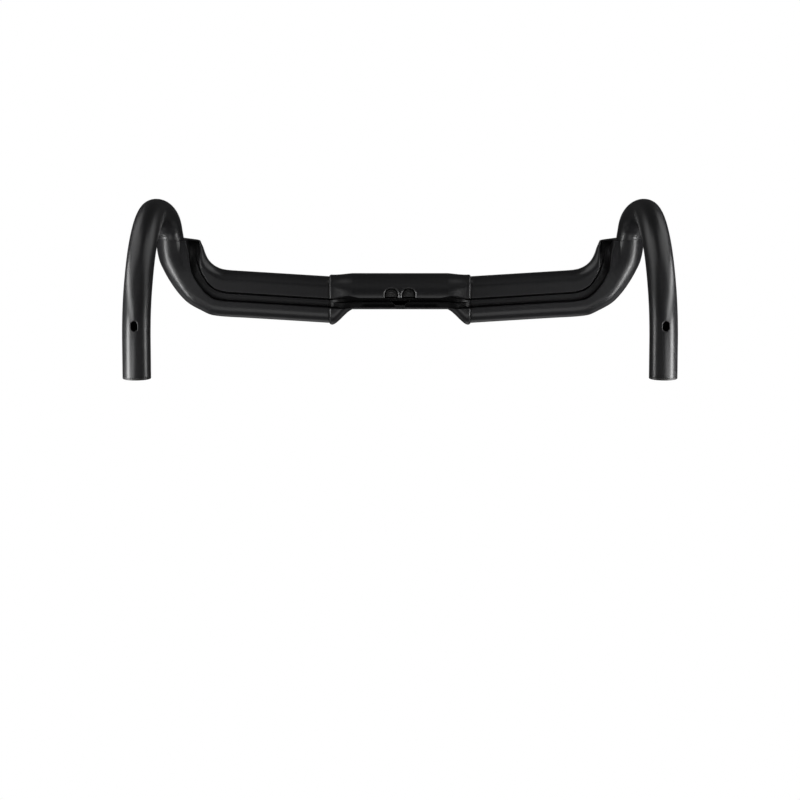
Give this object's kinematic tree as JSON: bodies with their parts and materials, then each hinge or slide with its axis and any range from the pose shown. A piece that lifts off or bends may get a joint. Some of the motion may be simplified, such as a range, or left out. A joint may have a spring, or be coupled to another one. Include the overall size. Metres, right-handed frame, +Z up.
{
  "type": "drop handlebar",
  "caption": "Flared drop handlebar with wing-shaped tops, a round stem clamp zone, an open hose channel underneath, wire ports and expanding end plugs.",
  "frame": {"origin": "top line of the round stem clamp zone, at mid width, 15.7 mm above the clamp axis", "axes": "+X to the rider's right along the clamp axis, +Y forward, +Z up; the drops hang to -Z"},
  "size_m": [0.463, 0.1384, 0.1519],
  "materials": {
    "carbon": "satin black carbon-fibre laminate, unidirectional",
    "soft_rubber": "matt black moulded rubber",
    "plug_nylon": "fine-textured black glass-filled nylon",
    "liner_nylon": "smooth natural nylon tube",
    "bonding_alloy": "fine-turned bare aluminium",
    "screw_steel": "black-oxide steel"
  },
  "bodies": {
    "bar": {"centre_section": "carbon", "wing_right": "carbon", "wing_ferrule_right": "bonding_alloy", "drop_right": "carbon", "drop_ferrule_right": "bonding_alloy", "wire_liner_right": "liner_nylon", "wing_left": "carbon", "wing_ferrule_left": "bonding_alloy", "drop_left": "carbon", "drop_ferrule_left": "bonding_alloy", "wire_liner_left": "liner_nylon"},
    "right_port_plug": {"port_plug_right": "soft_rubber"},
    "right_end_plug": {"end_plug_cap_right": "plug_nylon", "expander_sleeve_right": "soft_rubber"},
    "right_plug_screw": {"expander_screw_right": "screw_steel"},
    "right_plug_wedge": {"expander_wedge_right": "bonding_alloy"},
    "left_port_plug": {"port_plug_left": "soft_rubber"},
    "left_end_plug": {"end_plug_cap_left": "plug_nylon", "expander_sleeve_left": "soft_rubber"},
    "left_plug_screw": {"expander_screw_left": "screw_steel"},
    "left_plug_wedge": {"expander_wedge_left": "bonding_alloy"}
  },
  "joints": [
    {"name": "right_port_plug_pull", "type": "slide", "parent": "bar", "child": "right_port_plug", "axis": [0, 0, -1], "range_m": [0, 0.015]},
    {"name": "right_end_plug_pull", "type": "slide", "parent": "bar", "child": "right_end_plug", "axis": [0, -0.9986, -0.0523], "range_m": [0, 0.03]},
    {"name": "right_screw_turn", "type": "hinge", "parent": "right_end_plug", "child": "right_plug_screw", "pos_m": [0.2196, -0.05015, -0.13992], "axis": [0, -0.9986, -0.0523], "range_deg": [0, 1440]},
    {"name": "right_wedge_travel", "type": "slide", "parent": "right_end_plug", "child": "right_plug_wedge", "axis": [0, 0.9986, 0.0523], "range_m": [0, 0.0028]},
    {"name": "left_port_plug_pull", "type": "slide", "parent": "bar", "child": "left_port_plug", "axis": [0, 0, -1], "range_m": [0, 0.015]},
    {"name": "left_end_plug_pull", "type": "slide", "parent": "bar", "child": "left_end_plug", "axis": [0, -0.9986, -0.0523], "range_m": [0, 0.03]},
    {"name": "left_screw_turn", "type": "hinge", "parent": "left_end_plug", "child": "left_plug_screw", "pos_m": [-0.2196, -0.05015, -0.13992], "axis": [0, -0.9986, -0.0523], "range_deg": [0, 1440]},
    {"name": "left_wedge_travel", "type": "slide", "parent": "left_end_plug", "child": "left_plug_wedge", "axis": [0, 0.9986, 0.0523], "range_m": [0, 0.0028]}
  ],
  "couplings": [
    {"joint": "right_screw_turn", "follows": "right_wedge_travel", "rad_per_m": 8976},
    {"joint": "left_screw_turn", "follows": "left_wedge_travel", "rad_per_m": 8976}
  ]
}
